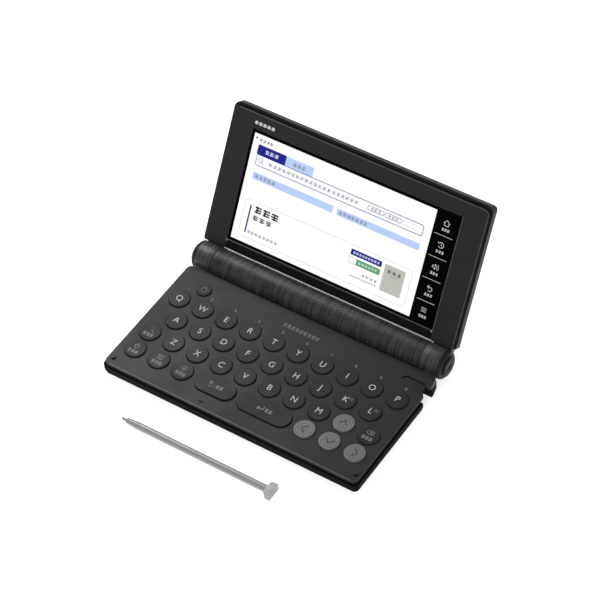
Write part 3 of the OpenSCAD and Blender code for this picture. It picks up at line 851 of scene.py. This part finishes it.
def screen_words():
    """Rows of small cells where the page has words, and the magnifier in the search line."""
    black = lit_pixels("page_black", (0.010, 0.010, 0.012), 1.0)
    heading = (word_bars(-52.8, -36.9, 35.6, 3.2, 3, 0.27)
               + word_bars(-52.8, -40.5, 30.9, 2.3, 3, 0.25)
               + word_bars(30.6, 39.6, 33.8, 1.5, 3))
    title = [arc((-61.0, 73.2), 0.55, 0, 330, 11)] + word_bars(-59.2, -50.4, 72.7, 1.2, 4)
    on_glass("screen_headings", heading + title, black, 3)
    grey = lit_pixels("page_grey", (0.20, 0.20, 0.24), 1.0)
    small = (word_bars(-57.2, -44.0, 53.0, 1.6, 5) + word_bars(-4.4, 13.5, 52.8, 1.6, 7)
             + word_bars(-54.2, -34.6, 22.3, 1.3, 8) + word_bars(17.0, 27.0, 25.7, 1.2, 4)
             + word_bars(10.6, 26.9, 23.3, 0.8, 10) + word_bars(-36.6, -29.0, 67.3, 1.8, 3)
             + word_bars(33.0, 37.6, 31.6, 0.7, 3) + word_bars(12.8, 19.4, 61.9, 1.2, 3)
             + word_bars(23.4, 29.9, 61.9, 1.2, 3))
    lens = moved(circle((-0.3, 0.3), 1.15, 0.3) + [stroke((0.5, -0.5), (1.3, -1.3), 0.36)],
                 -55.6, 62.0)
    on_glass("screen_words", small + lens, grey, 3)
    pale = lit_pixels("page_prompt", (0.22, 0.22, 0.27), 1.0)
    on_glass("screen_prompt", word_bars(-50.8, 5.6, 61.8, 1.5, 20), pale, 3)
    white = lit_pixels("page_knockout", (0.80, 0.80, 0.86), 1.0)
    knockout = (word_bars(-54.4, -45.6, 67.5, 1.8, 3) + word_bars(9.4, 25.8, 35.8, 1.1, 9)
                + word_bars(13.6, 25.6, 31.3, 1.1, 6))
    on_glass("screen_knockouts", knockout, white, 4)


def icon_home():
    roof = strokes([(-1.7, 0.1), (0, 1.6), (1.7, 0.1)], 0.3)
    return roof + strokes([(-1.2, 0.3), (-1.2, -1.4), (1.2, -1.4), (1.2, 0.3)], 0.3)


def icon_history():
    dial = strokes(arc((0, 0), 1.5, 150, -150, 20), 0.28)
    return dial + strokes([(0, 1.0), (0, 0), (0.7, -0.5)], 0.26) + strokes(
        [(-2.1, 1.2), (-1.3, 0.7), (-0.8, 1.5)], 0.28)


def icon_sound():
    cone = loop_strokes([(-1.7, 0.5), (-1.0, 0.5), (0, 1.4), (0, -1.4), (-1.0, -0.5),
                         (-1.7, -0.5)], 0.26)
    waves = strokes(arc((0, 0), 1.0, -50, 50, 6), 0.26) + strokes(arc((0, 0), 1.9, -50, 50, 8), 0.26)
    return cone + waves


def icon_return():
    bend = arc((0.4, -0.4), 1.1, 90, -90, 8)
    tail = strokes([(-1.3, 0.7)] + bend + [(-0.6, -1.5)], 0.3)
    return tail + strokes([(-0.5, 1.5), (-1.4, 0.7), (-0.5, -0.1)], 0.3)


def icon_menu():
    return [stroke((-1.4, y), (1.4, y), 0.28) for y in (-1.0, 0, 1.0)]


def screen_strip():
    """Black strip beside the page: five icons, each over a short mark, and four dividers."""
    centre = 56.3
    top = 70.6
    step = 12.1
    glow = lit_pixels("strip_white", (0.60, 0.60, 0.62), 1.0)
    icons = (icon_home, icon_history, icon_sound, icon_return, icon_menu)
    drawn = []
    for i, draw in enumerate(icons):
        y = top - step * i
        drawn += moved(draw(), centre, y)
        drawn += word_bars(centre - 2.2, centre + 2.6, y - 3.6, 1.3, 3)
    for i in range(4):
        y = top - 6.9 - (step + 0.15) * i
        drawn.append(stroke((50.9, y), (61.4, y), 0.22))
    on_glass("screen_strip_icons", drawn, glow, 0)


def slim_bar(name, outlines, z0, z1, finish):
    """A thin raised strip on the display, with rounded edges."""
    bm = plates(outlines, z0 * MM, z1 * MM)
    made = piece(name, mesh_from(bm, name), finish, "display", LID)
    edge = made.modifiers.new("edge", "BEVEL")
    edge.width = 0.06 * MM
    edge.limit_method = "ANGLE"


def window_lip():
    """Thin lip round the window: lighter along the bottom and the right as a painted highlight, with
    two light dots of painted highlight at its lower corners.
    """
    hidden = 1.4
    low, high = lid_box("touch_glass")
    face = lid_box("display_bezel")[1].z / MM
    x1 = high.x / MM - hidden + 0.25
    y0 = low.y / MM + hidden - 0.25
    y1 = high.y / MM - hidden + 0.25
    dark = strokes([(x1, y1), (-x1, y1), (-x1, y0)], 0.45)
    slim_bar("window_lip_dark", dark, face - 0.3, face + 0.1, BEZEL)
    # lighter plastic along the bottom and the right: painted highlight
    light = strokes([(-x1, y0), (x1, y0), (x1, y1)], 0.34)
    slim_bar("window_lip_painted_highlight", light, face - 0.3, face + 0.14, PAINTED_HIGHLIGHT)
    # two light dots at the lip's lower corners: painted highlights
    corner_glints = [arc((side * (x1 - 0.4), y0 - 0.5), 0.55, 0, 330, 11) for side in (-1, 1)]
    slim_bar("window_corner_glints", corner_glints, face - 0.1, face + 0.25, CORNER_GLINT_PAINT)


def bezel_rim_highlight():
    """Painted highlight: a lighter line along the top and the right edge of the bezel, where the edge
    catches the light.
    """
    low, high = lid_box("display_bezel")
    x1 = high.x / MM - 0.3
    y0 = low.y / MM + 1.2
    y1 = high.y / MM - 0.3
    r = 2.8
    corner = arc((x1 - r, y1 - r), r, 0, 90, 8)
    path = [(x1, y0)] + corner + [(-x1 + r, y1)]
    # lighter plastic strip along the edge: painted highlight
    slim_bar("bezel_rim_highlight", strokes(path, 0.3), high.z / MM - 0.2, high.z / MM + 0.04, PAINTED_HIGHLIGHT)


def chin_strip():
    """Darker strip across the bottom of the bezel, and a bright line along its lower edge as a
    painted highlight, where the glossy edge catches the light.
    """
    low, high = lid_box("display_bezel")
    glass_low = lid_box("touch_glass")[0]
    half = lid_box("touch_glass")[1].x / MM - 1.1
    face = high.z / MM
    y0 = low.y / MM + 0.7
    y1 = glass_low.y / MM + 0.8
    strip = moulded_plastic("chin_plastic", (0.008, 0.008, 0.008), 0.4, 0.25, 0.01, sheen=0.06)
    slim_bar("chin_strip", [rounded(-half, half, y0, y1, 0.2)], face - 0.1, face + 0.08, strip)
    # bright line along the lower edge: painted highlight
    line = [rounded(-half, half + 0.6, low.y / MM + 0.06, low.y / MM + 0.4, 0.12)]
    slim_bar("chin_glint_line", line, face - 0.3, face + 0.3, EDGE_GLINT)


def deck_lines():
    """A lighter strip along the deck's front edge as a painted highlight, and a dark strip of painted
    shade along the wall of the scoop for the stylus.
    """
    low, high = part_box("keyboard_deck")
    half = high.x / MM
    # light strip along the deck's front edge: painted highlight
    bm = plates([rounded(-half + 3.2, half - 3.2, 0.12, 0.42, 0.1)], 0, 0.05 * MM)
    place = Matrix.Translation((0, low.y, high.z - 0.03 * MM))
    piece("deck_edge_highlight", mesh_from(bm, "deck_edge_highlight"), PAINTED_HIGHLIGHT, "base", place)
    # dark strip in the case plastic along the back of the scoop: painted shade
    wall = arc((65.0, 70.9), 3.2, 165, 90, 6) + [(74.6, 74.1)]
    bm = plates(strokes(wall, 0.7), 0, 0.02 * MM)
    place = Matrix.Translation((0, high.y - 81.0 * MM, high.z + PRINT_LIFT))
    piece("scoop_painted_shade", mesh_from(bm, "scoop_painted_shade"), CASE, "base", place)


def plain_badge():
    """Plain light cells in the top left corner of the bezel, and a faint row on the deck."""
    low, high = lid_box("display_bezel")
    left = low.x / MM + 14.0
    y = high.y / MM - 4.9
    face = high.z / MM
    cells = [rounded(left + 2.6 * i, left + 2.6 * i + 2.0, y - 0.9, y + 0.9, 0.5) for i in range(5)]
    slim_bar("plain_badge", cells, face - 0.05, face + 0.06, WHITE_INK)
    deck_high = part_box("keyboard_deck")[1]
    row = word_bars(-11.0, 11.5, 0, 2.0, 9)
    place = Matrix.Translation((0, deck_high.y - 9.5 * MM, deck_high.z + PRINT_LIFT))
    mesh = mesh_from(plates(row, 0, PRINT_T), "deck_row")
    piece("deck_row", mesh, FAINT_INK, "base", place)


# ---- stage ----

def floor():
    """Pale seamless floor."""
    bm = bmesh.new()
    bmesh.ops.create_grid(bm, x_segments=2, y_segments=2, size=6)
    mesh = mesh_from(bm, "floor")
    made = bpy.data.objects.new("floor", mesh)
    bpy.context.scene.collection.objects.link(made)
    made.location.z = cad_box[0][2] - 0.02 * MM
    finish, _, shader = material("pale_floor", (0.93, 0.93, 0.93), 0.9)
    shader.inputs["Specular IOR Level"].default_value = 0.1
    shader.inputs["Emission Color"].default_value = (1, 1, 1, 1)
    shader.inputs["Emission Strength"].default_value = 0.68
    mesh.materials.append(finish)


def area_light(name, place, aim, size, power):
    """Square soft light at a place, pointing at another."""
    lamp = bpy.data.lights.new(name, "AREA")
    lamp.size = size
    lamp.energy = power
    made = bpy.data.objects.new(name, lamp)
    made.location = place
    made.rotation_euler = (Vector(aim) - Vector(place)).to_track_quat("-Z", "Y").to_euler()
    bpy.context.scene.collection.objects.link(made)


def lights():
    """White surroundings, a soft light close by on the left and weaker ones behind and in front."""
    world = bpy.data.worlds.new("studio")
    world.use_nodes = True
    sky = world.node_tree.nodes["Background"]
    sky.inputs["Color"].default_value = (1, 1, 1, 1)
    sky.inputs["Strength"].default_value = 0.4
    bpy.context.scene.world = world
    area_light("key_light", (-0.27, 0.12, 0.33), (-0.05, -0.01, 0), 0.24, 0.72)
    area_light("back_light", (-0.9, 0.5, 1.3), (0, 0, 0), 0.9, 2.5)
    area_light("front_light", (0.5, -1.2, 1.0), (0, 0, 0), 0.8, 4)
    bpy.context.scene.view_settings.view_transform = "Standard"


def camera():
    """Camera at the height, turn and lean from which the object is shown."""
    turn = math.radians(38.60)
    lift = math.radians(48.52)
    lean = math.radians(-6.45)
    distance = 1409.3 * MM
    aim = Vector((-17.6 * MM, middle("hinge_pins").y + 5.8 * MM, 0))
    back = Vector((math.sin(turn) * math.cos(lift), -math.cos(turn) * math.cos(lift),
                   math.sin(lift)))
    right = Vector((math.cos(turn), math.sin(turn), 0))
    up = back.cross(right)
    across = right * math.cos(lean) + up * math.sin(lean)
    upward = up * math.cos(lean) - right * math.sin(lean)
    lens = bpy.data.cameras.new("camera")
    lens.sensor_width = 36
    lens.lens = 159.55
    made = bpy.data.objects.new("camera", lens)
    made.matrix_world = Matrix.Translation(aim + back * distance) @ Matrix(
        (across, upward, back)).transposed().to_4x4()
    bpy.context.scene.collection.objects.link(made)
    bpy.context.scene.camera = made


dress_cad()
hinge_tube()
ringed_cover()
knuckles()
key_letters()
second_marks()
deck_digits()
key_icons()
screen_page()
screen_card()
screen_words()
screen_strip()
window_lip()
bezel_rim_highlight()
chin_strip()
deck_lines()
plain_badge()
floor()
lights()
camera()
